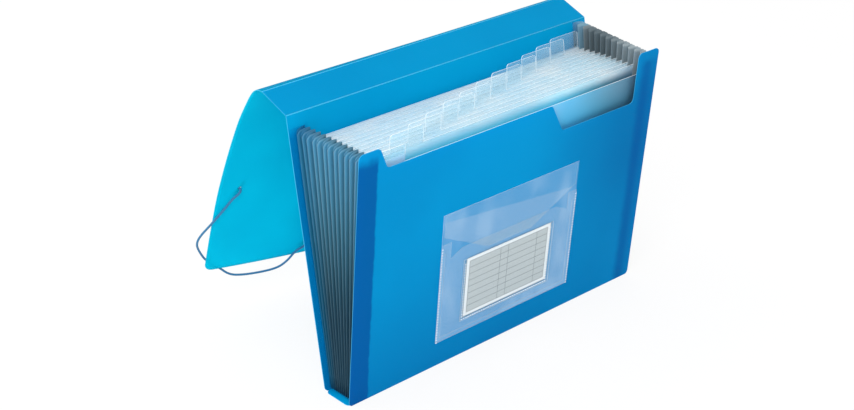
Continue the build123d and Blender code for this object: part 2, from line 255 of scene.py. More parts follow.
class Value:
    """A socket in a tree of nodes, with the arithmetic that the finishes use."""

    def __init__(self, maker, socket):
        self.maker = maker
        self.socket = socket

    def maths(self, operation, first, second=0.0):
        return self.maker.node("ShaderNodeMath", {"operation": operation}, {0: first, 1: second})

    def __add__(self, other):
        return self.maths("ADD", self, other)

    def __radd__(self, other):
        return self.maths("ADD", other, self)

    def __sub__(self, other):
        return self.maths("SUBTRACT", self, other)

    def __rsub__(self, other):
        return self.maths("SUBTRACT", other, self)

    def __mul__(self, other):
        return self.maths("MULTIPLY", self, other)

    def __rmul__(self, other):
        return self.maths("MULTIPLY", other, self)

    def __abs__(self):
        return self.maths("ABSOLUTE", self)

    def sine(self):
        return self.maths("SINE", self)

    def limit(self):
        return self.maths("MAXIMUM", self.maths("MINIMUM", self, 1.0), 0.0)

    def ramp(self, low, high):
        """0 below low, 1 above high and smooth between them."""
        inputs = {"Value": self, "From Min": low, "From Max": high}
        return self.maker.node("ShaderNodeMapRange", {"interpolation_type": "SMOOTHSTEP"}, inputs)


class NodeMaker:
    """Makes the nodes of one tree and joins them."""

    def __init__(self, tree):
        self.tree = tree
        self.tree.nodes.clear()

    def node(self, kind, settings=None, inputs=None, output=0):
        made = self.tree.nodes.new(kind)
        for key, value in (settings or {}).items():
            setattr(made, key, value)
        for key, value in (inputs or {}).items():
            if isinstance(value, Value):
                self.tree.links.new(value.socket, made.inputs[key])
            else:
                made.inputs[key].default_value = value
        return Value(self, made.outputs[output]) if made.outputs else made

    def mixed(self, factor, first, second):
        return self.node("ShaderNodeMixShader", inputs={0: factor, 1: first, 2: second})


class Finish(NodeMaker):
    """One material."""

    def __init__(self, name):
        self.material = bpy.data.materials.new(name)
        self.material.use_nodes = True
        super().__init__(self.material.node_tree)

    def parts(self, vector, axes="XYZ"):
        return [self.node("ShaderNodeSeparateXYZ", inputs={0: vector}, output=axis) for axis in axes]

    def coordinates(self, kind="Object"):
        return self.node("ShaderNodeTexCoord", output=kind)

    def place(self):
        """Object coordinates along X, Y and Z."""
        return self.parts(self.coordinates())

    def noise(self, scale, detail=2.0, where=None):
        inputs = {"Vector": where or self.coordinates(), "Scale": scale, "Detail": detail}
        return self.node("ShaderNodeTexNoise", inputs=inputs)

    def stretched(self, scale):
        """Object coordinates scaled by their own factor along each axis."""
        return self.node("ShaderNodeMapping", inputs={"Vector": self.coordinates(), "Scale": scale})

    def attribute(self, name):
        return self.node("ShaderNodeAttribute", {"attribute_name": name}, output="Fac")

    def edge(self, across):
        """1 on a sheet's cut edges, whose faces look along the sheet, and 0 on its two sides."""
        inputs = {0: self.coordinates("Normal"), 1: across}
        facing = self.node("ShaderNodeVectorMath", {"operation": "DOT_PRODUCT"}, inputs, "Value")
        return 1.0 - abs(facing).ramp(0.5, 0.85)

    def blend(self, factor, first, second):
        return self.node("ShaderNodeMix", {"data_type": "RGBA"}, {0: factor, 6: first, 7: second}, output=2)

    def bump(self, height, strength, distance):
        inputs = {"Height": height, "Strength": strength, "Distance": distance}
        return self.node("ShaderNodeBump", inputs=inputs)

    def surface(self, colour, roughness, normal=None, specular=0.5, sheen=0.0):
        inputs = {"Base Color": colour, "Roughness": roughness}
        inputs |= {"Specular IOR Level": specular, "Sheen Weight": sheen}
        if normal:
            inputs["Normal"] = normal
        return self.node("ShaderNodeBsdfPrincipled", inputs=inputs)

    def translucent(self, colour):
        return self.node("ShaderNodeBsdfTranslucent", inputs={"Color": colour})

    def clear(self, colour):
        return self.node("ShaderNodeBsdfTransparent", inputs={"Color": colour})

    def done(self, shader):
        self.node("ShaderNodeOutputMaterial", inputs={"Surface": shader})
        return self.material


def rgba(colour):
    return (*colour, 1.0)


def toned(colour, factor, lift=0.0):
    """A colour made lighter or darker."""
    return tuple(min(factor * part + lift, 1.0) for part in colour)


def dress(piece, *materials):
    """Gives a piece its materials in place of those it has."""
    piece.data.materials.clear()
    for material in materials:
        piece.data.materials.append(material)


def new_piece(name, points, faces, material, smooth=True):
    mesh = bpy.data.meshes.new(name)
    mesh.from_pydata([tuple(point) for point in points], [], faces)
    mesh.polygons.foreach_set("use_smooth", [smooth] * len(mesh.polygons))
    mesh.update()
    piece = bpy.data.objects.new(name, mesh)
    bpy.context.scene.collection.objects.link(piece)
    dress(piece, material)
    return piece


def settle(piece):
    """Turns what a piece's modifiers make into its own plain mesh."""
    seen = piece.evaluated_get(bpy.context.evaluated_depsgraph_get())
    mesh = bpy.data.meshes.new_from_object(seen)
    piece.modifiers.clear()
    piece.data = mesh
    mesh.name = piece.name
    return piece


def thicken(piece, thickness, rim=0):
    """Gives a surface its thickness; rim is how many materials further on its cut edges' material is."""
    shell = piece.modifiers.new("Film", "SOLIDIFY")
    shell.thickness = thickness
    shell.offset = 0
    shell.material_offset_rim = rim
    return settle(piece)


def grid_faces(rows, columns):
    """Quads of a grid of points that are listed row by row."""
    faces = []
    for row in range(rows - 1):
        for column in range(columns - 1):
            corner = row * columns + column
            faces.append((corner, corner + 1, corner + columns + 1, corner + columns))
    return faces


def tube_faces(rings, sides, start=0):
    """Faces of a tube whose points are listed ring by ring, with a cap on each end."""
    faces = []
    for ring in range(rings - 1):
        near = start + ring * sides
        far = near + sides
        for side in range(sides):
            after = (side + 1) % sides
            faces.append((near + side, near + after, far + after, far + side))
    last = start + (rings - 1) * sides
    faces.append(tuple(range(start, start + sides))[::-1])
    faces.append(tuple(range(last, last + sides)))
    return faces


def turns(sides):
    """Angles of the corners of a regular polygon."""
    return [2 * pi * side / sides for side in range(sides)]


def sheet_direction(tilt):
    """Unit vector up a sheet that is tilted from upright."""
    return Vector((0, sin(tilt), cos(tilt)))


def sheet_normal(tilt):
    """Unit vector straight through a sheet that is tilted from upright."""
    return Vector((0, cos(tilt), -sin(tilt)))


def front_point(x, up, out):
    """A point on the front cover: across it, up from its crease, and out from the middle of the sheet."""
    crease = Vector((x, -BASE_DEPTH / 2, SHEET / 2))
    return crease + sheet_direction(FRONT_LEAN) * up - sheet_normal(FRONT_LEAN) * out


BACK_TOP = Vector((0, BASE_DEPTH / 2, SHEET / 2)) + sheet_direction(BACK_LEAN) * BACK_HEIGHT
FLAP_CREASE = BACK_TOP + sheet_direction(SPINE_TILT) * SPINE_DEPTH


def painted_front_shade(x, z):
    """Painted shade on the front cover, for light from its upper left: deeper towards its foot and its
    right side, and less at its top.
    """
    foot = 1.0 - z.ramp(0.0, 150 * MM)
    aside = x.ramp(0.0, 180 * MM)
    top = z.ramp(185 * MM, 215 * MM)
    return 0.7 * aside * (1.0 - foot) * (1.0 - 0.35 * top) + 0.45 * foot * (1.0 - 0.4 * aside)


def root_shade(finish, z):
    """Painted shade on the upward face of the flap's root, just below the crease."""
    upward = finish.parts(finish.coordinates("Normal"), "Z")[0]
    return 0.5 * z.ramp(238 * MM, 241 * MM) * upward.ramp(0.1, 0.4)


def weld_band_shade(finish, x, z):
    """Wavering bands along a cover's sides, where the gussets are welded to it: the flange behind the
    translucent sheet, darkened as painted shade.
    """
    waver = 3 * MM * (finish.noise(90.0, 2.0) - 0.5)
    left = (waver - x).ramp(145.8 * MM, 148.2 * MM)
    right = (waver + x).ramp(142 * MM, 152 * MM) * (0.75 - 0.45 * x.ramp(153 * MM, 164 * MM))
    top = (z + 4.0 * waver).ramp(215 * MM, 226 * MM)
    return (left + right) * (1.0 - top)


def cover_finish(name, colours, tone, through, across=None, band_shade=0.0, shade_front=False, shade_root=False):
    """Satin translucent polypropylene: soft mottling and fine grain, with painted highlights on the cut
    edges, painted shade on the front cover and at the flap's root, and weld bands darkened as painted
    shade.
    """
    finish = Finish(name)
    x, _, z = finish.place()
    cloud = finish.noise(7.0, 3.0)
    grain = finish.noise(1500.0, 2.0)
    drawn = finish.noise(60.0, 3.0, finish.stretched((0.25, 1.0, 4.0)))
    shade = 0.16 * cloud.ramp(0.35, 0.7)
    # Painted shade across the front cover
    if shade_front:
        shade = shade + painted_front_shade(x, z)
    # Painted shade at the flap's root, below the crease
    if shade_root:
        shade = shade + root_shade(finish, z)
    colour = finish.blend(shade.limit(), rgba(tone), rgba(colours.cover_deep))
    # Weld bands: the flange behind the sheet, with painted shade
    if band_shade:
        colour = finish.blend(band_shade * weld_band_shade(finish, x, z), colour, rgba(colours.cover_band_shade))
    # Painted highlight on the cut edges
    if across:
        colour = finish.blend(0.6 * finish.edge(across), colour, rgba(colours.cover_edge_highlight))
    bump = finish.bump(0.7 * grain + 0.3 * drawn, 0.12, 0.4 * MM)
    sheet = finish.surface(colour, 0.44 + 0.1 * drawn, bump, 0.025)
    return finish.done(finish.mixed(through, sheet, finish.translucent(colour)))


def crease_finish(name, colours):
    """Pressed or cut sheet with a fine grain, paler than the sheet beside it as a painted highlight."""
    finish = Finish(name)
    grain = finish.noise(700.0)
    colour = finish.blend(0.6 * grain.ramp(0.3, 0.7), rgba(colours.cover_edge_highlight), rgba(colours.cover_painted_lit))
    sheet = finish.surface(colour, 0.35 + 0.1 * grain, finish.bump(grain, 0.2, 0.2 * MM), 0.25)
    return finish.done(finish.mixed(0.4, sheet, finish.translucent(colour)))


def crease_bead(name, centre, radius, material):
    """A slim bead along a crease, so that the panels meet whatever their angle is."""
    sides = 12
    tip = 0.55
    inner = HALF_WIDTH - radius / 2
    rings = ((-HALF_WIDTH, tip), (-inner, 1.0), (inner, 1.0), (HALF_WIDTH, tip))
    points = []
    for x, size in rings:
        for turn in turns(sides):
            points.append(centre + Vector((x, cos(turn) * radius * size, sin(turn) * radius * size)))
    return new_piece(name, points, tube_faces(len(rings), sides), material)


class FOLDER_OT_covers(bpy.types.Operator):
    """Finishes the four cover panels and presses their creases"""

    bl_idname = "folder.covers"
    bl_label = "Covers and creases"

    def execute(self, context):
        colours = context.scene.folder_colours
        level = Vector((0, 0, 1))
        # Each panel's node, tone, direction through it, share of light let through, and strength of the
        # weld bands' painted shade
        panels = (
            ("base_strip", colours.cover, level, 0.2, 0.0),
            ("front_cover", colours.cover, sheet_normal(FRONT_LEAN), 0.3, 0.85),
            ("back_cover", colours.cover_rear_shaded, sheet_normal(BACK_LEAN), 0.1, 0.45),
            ("top_spine", colours.cover_rear_shaded, sheet_normal(SPINE_TILT), 0.3, 0.0),
        )
        for node, tone, across, through, band_shade in panels:
            # Only the front cover gets the painted shade towards its foot and right side
            shade_front = node == "front_cover"
            sheet = cover_finish(node + "_sheet", colours, tone, through, across, band_shade, shade_front)
            dress(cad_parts[node], sheet)
        material = crease_finish("pressed_crease", colours)
        lip = FLAP_CREASE + sheet_direction(LIP_TILT) * LIP_REACH
        beads = (
            ("crease_back", BACK_TOP, "back", context.scene.folder_sizes.crease_radius),
            ("crease_flap", lip, "spine", LIP_RADIUS),
        )
        for name, centre, body, radius in beads:
            piece = crease_bead(name, centre, radius, material)
            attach(piece, body)
        return {"FINISHED"}


def smooth_run(points, steps):
    """A smooth line through points, as an array, with the same number of steps in each stretch."""
    points = np.array(points, float)
    before = 2 * points[0] - points[1]
    after = 2 * points[-1] - points[-2]
    ends = np.vstack([before, points, after])
    run = []
    for a, b, c, d in zip(ends, ends[1:], ends[2:], ends[3:]):
        for t in np.arange(steps) / steps:
            bend = (2 * a - 5 * b + 4 * c - d) * t**2 + (3 * b - a - 3 * c + d) * t**3
            run.append(0.5 * (2 * b + (c - a) * t + bend))
    return np.array([*run, points[-1]])


class FlapForm:
    """The hanging flap's form: a bowed profile whose hang eases off from left to right."""

    # Distance down the chord and bow away from it, in millimetres
    profile = ((0, 0), (2.4, 4.6), (6.8, 8.7), (14, 11.1), (25, 12.8), (46, 14.9), (72, 15.3),
               (104, 14.5), (141, 12.1), (182, 6.8), (226, 0))
    stretch = 8

    def __init__(self, sizes):
        self.sizes = sizes
        run = smooth_run(self.profile, self.stretch) * MM
        self.down, self.bow = run.T
        step = np.hypot(np.diff(self.down), np.diff(self.bow))
        self.length = np.concatenate([[0], np.cumsum(step)])
        self.slope = np.gradient(self.bow, self.down)

    def hang(self, x):
        share = (1 - x / HALF_WIDTH) / 2
        ease = np.maximum(share, 0) ** self.sizes.flap_twist_shape
        return self.sizes.flap_hang_right + (self.sizes.flap_hang - self.sizes.flap_hang_right) * ease

    def spread(self, share):
        """Distance down the chord at a share of the sheet's own length."""
        return np.interp(share * self.length[-1], self.length, self.down)

    def place(self, x, down, inward):
        """Points on the sheet, or beside it on its inner face."""
        x, down, inward = np.broadcast_arrays(*(np.asarray(v, float) for v in (x, down, inward)))
        beyond = np.maximum(down - self.down[-1], 0)
        slope = np.interp(down, self.down, self.slope)
        bow = np.interp(down, self.down, self.bow) + beyond * self.slope[-1]
        size = np.hypot(1, slope)
        along = down - inward * slope / size
        away = bow + inward / size
        turn = self.hang(x)
        y = FLAP_CREASE.y + np.sin(turn) * along + np.cos(turn) * away
        z = FLAP_CREASE.z - np.cos(turn) * along + np.sin(turn) * away
        return np.stack([x, y, z], axis=-1)


def hang_on_flap(piece):
    """A piece of the flap rides on it."""
    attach(piece, "flap")
    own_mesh(piece)


def round_corners(x, down):
    """Draws the lower corners of the flap's grid in to its rounded ones."""
    side = HALF_WIDTH - FLAP_CORNER
    foot = FLAP_LENGTH - FLAP_CORNER
    off = np.abs(x) - side
    low = down - foot
    inside = (off > 0) & (low > 0)
    reach = np.where(inside, np.maximum(off, low) / np.maximum(np.hypot(off, low), 1e-9), 1)
    x = np.where(inside, np.sign(x) * (side + off * reach), x)
    down = np.where(inside, foot + low * reach, down)
    return x, down


def punch(piece, x, y, radius):
    """Cuts a round hole through a flat sheet."""
    sides = 20
    ring = [(x + radius * cos(turn), y + radius * sin(turn)) for turn in turns(sides)]
    points = [(*point, level) for level in (-SHEET, SHEET) for point in ring]
    tool = new_piece("punch", points, tube_faces(2, sides), piece.data.materials[0])
    cut = piece.modifiers.new("Hole", "BOOLEAN")
    cut.operation = "DIFFERENCE"
    cut.object = tool
    settle(piece)
    bpy.data.objects.remove(tool)


class FOLDER_OT_flap(bpy.types.Operator):
    """Makes the bowed closing flap with its rounded corners and its holes"""

    bl_idname = "folder.flap"
    bl_label = "Closing flap"

    def execute(self, context):
        colours = context.scene.folder_colours
        form = FlapForm(context.scene.folder_sizes)
        columns = 97
        rows = 73
        xs = np.linspace(-HALF_WIDTH, HALF_WIDTH, columns)
        x, down = np.meshgrid(xs, form.spread(np.linspace(0, 1, rows)))
        x, down = round_corners(x, np.maximum(down, FLAP_GAP))
        flat = np.stack([x.ravel(), down.ravel(), np.zeros(x.size)], axis=-1)
        # The flap's paler tone is painted light from behind it
        material = cover_finish("flap_sheet", colours, colours.cover_painted_lit, 0.5, shade_root=True)
        piece = new_piece("flap_sheet", flat, grid_faces(rows, columns), material)
        dress(piece, material, crease_finish("cut_edge", colours))
        thicken(piece, SHEET, rim=1)
        for _, side in SIDES:
            for inward, height, _ in ANCHORS:
                punch(piece, side * (HALF_WIDTH - inward), FLAP_LENGTH - height, ANCHOR_HOLE / 2)
        where = np.array([vertex.co for vertex in piece.data.vertices])
        placed = form.place(where[:, 0], where[:, 1], where[:, 2])
        piece.data.vertices.foreach_set("co", placed.astype(np.float32).ravel())
        piece.data.update()
        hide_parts("closing_flap")
        hang_on_flap(piece)
        return {"FINISHED"}


def elastic_finish(colours):
    """Covered elastic: a fine braid along the cord's own map."""
    finish = Finish("covered_elastic")
    around, along = finish.parts(finish.node("ShaderNodeUVMap", {"uv_map": "Cord"}), "XY")
    lengthwise = along * BRAID_ALONG
    crosswise = around * BRAID_AROUND
    braid = 0.5 + 0.25 * (lengthwise + crosswise).sine() + 0.25 * (lengthwise - crosswise).sine()
    light = toned(colours.elastic, 1.15, 0.02)
    colour = finish.blend(braid.ramp(0.2, 0.9), rgba(colours.elastic), rgba(light))
    bump = finish.bump(braid, 0.5, 0.2 * MM)
    return finish.done(finish.surface(colour, 0.7 - 0.15 * braid, bump, sheen=0.08))


def bar_finish(colours):
    """Moulded plastic of the anchor bars: satin, with a faint flow grain."""
    finish = Finish("moulded_bar")
    grain = finish.noise(900.0, 3.0)
    deep = toned(colours.elastic, 0.7)
    colour = finish.blend(grain.ramp(0.3, 0.7), rgba(colours.elastic), rgba(deep))
    return finish.done(finish.surface(colour, 0.4 + 0.1 * grain, finish.bump(grain, 0.15, 0.2 * MM)))


# Route of an elastic, in millimetres: in from the flap's side edge, up from its bottom edge, out from it
ELASTIC_ROUTE = (
    (20.3, 92.0, -0.4),
    (20.3, 92.0, 1.6),
    (19.35, 90.7, 3.2),
    (17.2, 87.8, 3.5),
    (13.4, 83.5, 2.8),
    (8.0, 72.4, 2.1),
    (-2.4, 56.5, 1.9),
    (-10.6, 43.8, 1.2),
    (-11.6, 34.2, 0.2),
    (-6.9, 23.6, -1.2),
    (1.7, 9.7, -2.0),
    (14.9, -0.9, -2.1),
    (25.3, -11.1, -0.8),
    (37.3, -12.2, 1.2),
    (53.2, -11.3, 3.0),
    (68.7, -9.5, 3.8),
    (77.9, -3.4, 3.6),
    (84.9, 5.9, 3.2),
    (92.2, 8.8, 3.5),
    (94.35, 11.7, 3.2),
    (95.3, 13.0, 1.6),
    (95.3, 13.0, -0.4),
)


def route_points(route):
    """Points along a route's smooth line: a NURBS spline with the route as its control points."""
    curve = bpy.data.curves.new("route", "CURVE")
    curve.dimensions = "3D"
    spline = curve.splines.new("NURBS")
    spline.points.add(len(route) - 1)
    for point, place in zip(spline.points, route):
        point.co = (*place, 1)
    spline.order_u = 3
    spline.use_endpoint_u = True
    spline.resolution_u = 8
    holder = bpy.data.objects.new("route", curve)
    bpy.context.scene.collection.objects.link(holder)
    bpy.context.view_layer.update()
    seen = holder.evaluated_get(bpy.context.evaluated_depsgraph_get())
    line = bpy.data.meshes.new_from_object(seen)
    points = [vertex.co.copy() for vertex in line.vertices]
    bpy.data.objects.remove(holder)
    bpy.data.meshes.remove(line)
    return points


def cord_tube(name, points, radius, material):
    """A round cord along points, with a map of its turn and its length."""
    sides = 12
    side_way = (points[1] - points[0]).orthogonal().normalized()
    rings = []
    lengths = [0.0]
    for index, point in enumerate(points):
        ahead = points[min(index + 1, len(points) - 1)] - points[max(index - 1, 0)]
        ahead.normalize()
        side_way = (side_way - ahead * side_way.dot(ahead)).normalized()
        other = ahead.cross(side_way)
        rings += [point + (side_way * cos(turn) + other * sin(turn)) * radius for turn in turns(sides)]
        if index:
            lengths.append(lengths[-1] + (point - points[index - 1]).length)
    chart = []
    for low, high in zip(lengths, lengths[1:]):
        for side in range(sides):
            left = side / sides
            right = (side + 1) / sides
            chart += [(left, low), (right, low), (right, high), (left, high)]
    chart += [(0, 0)] * sides + [(0, lengths[-1])] * sides
    piece = new_piece(name, rings, tube_faces(len(points), sides), material)
    layer = piece.data.uv_layers.new(name="Cord")
    layer.data.foreach_set("uv", np.array(chart, np.float32).ravel())
    return piece, lengths[-1]


def anchor_bars(name, side, form, material):
    """Two ribbed bars on the flap's inner face, one at each end of an elastic."""
    half_length = 9 * MM
    half_width = 1.1 * MM
    half_depth = 0.7 * MM
    clearance = 0.1 * MM
    seat = SHEET / 2 + clearance + half_depth
    rib_height = 0.12
    rib_steps = 12
    ribs_from = 0.3
    ribs_to = 0.85
    least = 0.02
    around = 12
    stations = np.linspace(-1, 1, 25)
    points = []
    faces = []
    for inward, height, lean in ANCHORS:
        # A bar's rings turn the other way round, so the faces of the tube are turned over
        faces += [face[:1] + face[:0:-1] for face in tube_faces(len(stations), around, len(points))]
        for station in stations:
            along = station * half_length
            past = max(abs(along) - (half_length - half_width), 0) / half_width
            size = max(1 - past**2, least) ** 0.5
            ribbed = ribs_from < abs(station) < ribs_to and round(abs(station) * rib_steps) % 2
            rib = 1 + (rib_height if ribbed else 0)
            for turn in turns(around):
                across = cos(turn) * half_width * size
                depth = sin(turn) * half_depth * size * rib
                x = side * (HALF_WIDTH - inward) + side * sin(lean) * along + cos(lean) * across
                down = FLAP_LENGTH - height + cos(lean) * along - side * sin(lean) * across
                points.append(form.place(x, down, seat + depth))
    return new_piece(name, points, faces, material)


class FOLDER_OT_elastics(bpy.types.Operator):
    """Makes the two corner elastics and the ribbed bars that anchor them"""

    bl_idname = "folder.elastics"
    bl_label = "Elastics and anchor bars"

    def execute(self, context):
        sizes = context.scene.folder_sizes
        colours = context.scene.folder_colours
        form = FlapForm(sizes)
        material = elastic_finish(colours)
        bar_material = bar_finish(colours)
        inward, height, out = np.array(ELASTIC_ROUTE).T * MM
        for name, side in SIDES:
            route = form.place(side * (HALF_WIDTH - inward), FLAP_LENGTH - height, -out)
            points = route_points(route)
            piece, length = cord_tube(f"elastic_cord_{name}", points, sizes.cord_diameter / 2, material)
            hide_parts(f"elastic_{name}")
            hang_on_flap(piece)
            bars = anchor_bars(f"anchor_bars_{name}", side, form, bar_material)
            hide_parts(f"elastic_bars_{name}")
            hang_on_flap(bars)
        return {"FINISHED"}


def fan_lean(number):
    """Lean of a sheet of the fan, from 0 for the front cover to 13 for the back cover."""
    return FRONT_LEAN + (BACK_LEAN - FRONT_LEAN) * number / LAST_SHEET


def fan_y(number, z):
    """Y of the gusset's valley at a sheet of the fan: on a divider's middle, or on a cover's inner face."""
    inner = 0.42 * MM
    cover = {0: 1, LAST_SHEET: -1}.get(number, 0)
    axis_z = SHEET / 2 if cover else DIVIDER_FOOT
    foot = -BASE_DEPTH / 2 + BASE_DEPTH * number / LAST_SHEET
    return foot + (z - axis_z) * tan(fan_lean(number)) + cover * inner


def gusset_finish(colours):
    """Smoky film of the gussets, with painted highlights on the ridges and the rim, and painted shade in
    the folds and at the foot.

    The right gusset is painted paler, as light falls through it, with painted shade behind its middle, and
    the rear pleats are painted with the back cover's blue seen through them.
    """
    finish = Finish("gusset_film")
    x, y, z = finish.place()
    fold = finish.attribute("fold")
    rim = finish.attribute("rim")
    flange = finish.attribute("flange")
    rear = finish.attribute("rear")
    haze = finish.noise(140.0, 3.0)
    streak = finish.noise(260.0, 2.0, finish.stretched((1.0, 1.0, 0.06)))
    height = z.ramp(60 * MM, 230 * MM)
    right = x.ramp(0.0, 10 * MM)
    # Painted shade: darker towards the foot and in the folds
    colour = finish.blend(height, rgba(colours.gusset_foot_shade), rgba(colours.gusset))
    shaded = toned(colours.gusset_foot_shade, 0.4)
    colour = finish.blend(0.6 * (1.0 - fold.ramp(0.1, 0.75)), colour, rgba(shaded))
    # Painted light: the right gusset paler
    colour = finish.blend(0.85 * right, colour, rgba(colours.right_gusset_lit))
    # Painted highlights on the ridges and the rim
    ridge = fold.ramp(0.88, 1.0) * (0.4 + 0.5 * height)
    light = (ridge + 0.6 * rim + 0.3 * (streak - 0.5)).limit()
    ridge_highlight_tone = finish.blend(right, rgba(colours.gusset_ridge_highlight), rgba(colours.right_ridge_highlight))
    colour = finish.blend(light, colour, ridge_highlight_tone)
    # Painted shade behind the right gusset's middle
    deepest_shade = right * y.ramp(-20 * MM, 18 * MM) * (1.0 - y.ramp(26 * MM, 44 * MM))
    colour = finish.blend(0.75 * deepest_shade, colour, rgba(colours.right_deep_shade))
    # Painted light from the back cover, seen through the rear pleats
    behind = rear * (0.85 - 0.85 * right) + 0.9 * rear.ramp(0.5, 0.9) * right
    rear_lit_through_tone = finish.blend(right, rgba(colours.gusset_rear_lit_through), rgba(colours.right_rear_lit_through))
    colour = finish.blend(behind, colour, rear_lit_through_tone)
    bump = finish.bump(0.5 * haze + 0.5 * streak, 0.15, 0.6 * MM)
    film = finish.surface(colour, 0.28 + 0.18 * haze, bump, 0.25)
    smoky = finish.mixed(0.6, film, finish.translucent(colour))
    return finish.done(finish.mixed(0.97 * flange, smoky, finish.clear((0.93, 0.98, 1.0, 1.0))))


def ridge_share(number, neighbour):
    """How far from a sheet towards its neighbour their ridge is: half way, or further from a cover."""
    ends = (0, LAST_SHEET)
    if number in ends:
        return 0.6
    return 0.4 if neighbour in ends else 0.5


def pleat_section(number, sizes):
    """Section of a pleat, front to back: how far out, the sheet it leans to, and its share of the way."""
    round_from = RIDGE_X - sizes.ridge_round
    round_share = 0.6
    steps = 5
    wall = [(VALLEY_X, 0.07), (VALLEY_X + 0.5 * MM, 0.16), (VALLEY_X + 4 * MM, 0.36)]
    wall.append((round_from, round_share))
    for step in range(1, steps + 1):
        turn = pi / 2 * step / steps
        wall.append((round_from + sizes.ridge_round * sin(turn), 1 - (1 - round_share) * cos(turn)))
    flange = [(VALLEY_X + 1 * MM, 0.0), (FLANGE_X, 0.0)]
    before, ahead = (wall, number - 1) if number > 0 else (flange, 1)
    after, behind = (wall, number + 1) if number < LAST_SHEET else (flange, DIVIDERS)
    section = [(x, ahead, share) for x, share in before[::-1]]
    section.append((VALLEY_X - 0.15 * MM, number, 0.0))
    return section + [(x, behind, share) for x, share in after]


def pleat_point(side, number, x, neighbour, share, level, sizes):
    """A point of a pleat, from its section and its share of the height."""
    reach = share * ridge_share(number, neighbour)
    past = np.clip((x - (RIDGE_X - sizes.shoulder)) / sizes.shoulder, 0, 1) if share else 0
    top = GUSSET_TOP - SHOULDER_DROP * sizes.shoulder * (1 - (1 - past**2) ** 0.5)
    bulge = 0
    if side > 0:
        back = (number + reach * (neighbour - number)) / LAST_SHEET
        top += sizes.rise_front + back * (sizes.rise_back - sizes.rise_front)
        bulge = sizes.bulge * back * share * level**2
    z = GUSSET_FOOT + level * (top - GUSSET_FOOT)
    here = fan_y(number, z)
    sway = SWAY * sin(SWAY_RATE * z + SWAY_SHIFT * (number + neighbour)) * share * level
    return side * (x + sway + bulge), here + reach * (fan_y(neighbour, z) - here), z


def pleat(name, side, number, sizes, material):
    """The film at one sheet of the fan: a valley at the sheet and half a ridge on each side of it."""
    section = pleat_section(number, sizes)
    on_cover = number in (0, LAST_SHEET)
    first_rear = 9
    points = []
    marks = {"fold": [], "rim": [], "flange": [], "rear": []}
    for level in PLEAT_LEVELS:
        for x, neighbour, share in section:
            points.append(pleat_point(side, number, x, neighbour, share, level, sizes))
            marks["fold"].append(share)
            marks["rim"].append(1.0 if level > 0.99 else 0.0)
            marks["flange"].append(max(1.0 - share / 0.6, 0.0) if on_cover else 0.0)
            marks["rear"].append(max((number - first_rear) / (LAST_SHEET - first_rear), 0.0))
    faces = grid_faces(len(PLEAT_LEVELS), len(section))
    if side > 0:
        faces = [face[::-1] for face in faces]
    piece = new_piece(name, points, faces, material)
    for mark, values in marks.items():
        made = piece.data.attributes.new(mark, "FLOAT", "POINT")
        made.data.foreach_set("value", np.asarray(values, np.float32))
    return thicken(piece, sizes.film)


class FOLDER_OT_gussets(bpy.types.Operator):
    """Makes the pleats of both gussets, each hung on its own sheet of the fan"""

    bl_idname = "folder.gussets"
    bl_label = "Pleated gussets"

    def execute(self, context):
        sizes = context.scene.folder_sizes
        material = gusset_finish(context.scene.folder_colours)
        covers = {0: "front", LAST_SHEET: "back"}
        for name, side in SIDES:
            for number in range(LAST_SHEET + 1):
                piece = pleat(f"gusset_{name}_{number:02d}", side, number, sizes, material)
                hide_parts(f"gusset_{name}")
                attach(piece, covers.get(number, f"divider_{number:02d}"))
                lean = fan_lean(number)
                fan_y(number, GUSSET_FOOT)
                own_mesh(piece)
        return {"FINISHED"}


def pale_share(number, x, z):
    """How pale a divider is, and so how little of the painted blue light and shade below shows: most at its
    top, and less on the front two.
    """
    top = FRONT_DIVIDER_PALE if number == 1 else DIVIDER_PALE
    depth = 10 * MM if number == 2 else 16 * MM + 10 * MM * x.ramp(-100 * MM, 0.0)
    share = z.ramp(top - depth, top)
    if number == 1:
        return share * (0.6 - 0.5 * x.ramp(0.0, 70 * MM))
    return 0.7 * share if number == 2 else share


def divider_finish(colours, number):
    """Frosted film: pale at its top and bluer below in painted light and shade, greyer to the right in
    painted shade, with clear tabs, painted highlights on its edges and a faint grain.
    """
    finish = Finish(f"frosted_film_{number:02d}")
    x, _, z = finish.place()
    haze = finish.noise(45.0, 3.0)
    grain = finish.noise(1800.0, 1.0)
    # Painted shade towards the right
    shaded = x.ramp(50 * MM, 150 * MM)
    # Painted blue light and shade below the tops, lighter on the second divider
    lit = colours.divider_lit if number == 2 else colours.divider_painted_blue
    deep = finish.blend(shaded, rgba(lit), rgba(colours.divider_shade))
    pale = finish.blend(haze.ramp(0.3, 0.75), rgba(colours.divider), rgba(colours.divider_haze_and_highlight))
    colour = finish.blend(pale_share(number, x, z), deep, pale)
    colour = finish.blend(0.06 * shaded, colour, rgba(colours.divider_grey_shade))
    tab = z.ramp(*TAB_BEGINS)
    colour = finish.blend(0.45 * tab, colour, rgba(colours.divider_tab))
    # Painted highlight on the cut edges
    edge = finish.edge(sheet_normal(fan_lean(number)))
    colour = finish.blend(edge, colour, rgba(colours.divider_haze_and_highlight))
    film = finish.surface(colour, 0.42 + 0.12 * haze, finish.bump(grain, 0.08, 0.3 * MM), 0.2)
    frosted = finish.mixed(0.3, film, finish.translucent(colour))
    clearness = (0.15 + 0.73 * tab) * (1.0 - edge)
    return finish.done(finish.mixed(clearness, frosted, finish.clear((0.97, 0.99, 1.0, 1.0))))


class FOLDER_OT_dividers(bpy.types.Operator):
    """Finishes the twelve index dividers"""

    bl_idname = "folder.dividers"
    bl_label = "Index dividers"

    def execute(self, context):
        colours = context.scene.folder_colours
        for number in range(1, DIVIDERS + 1):
            dress(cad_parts[f"divider_{number:02d}"], divider_finish(colours, number))
        return {"FINISHED"}


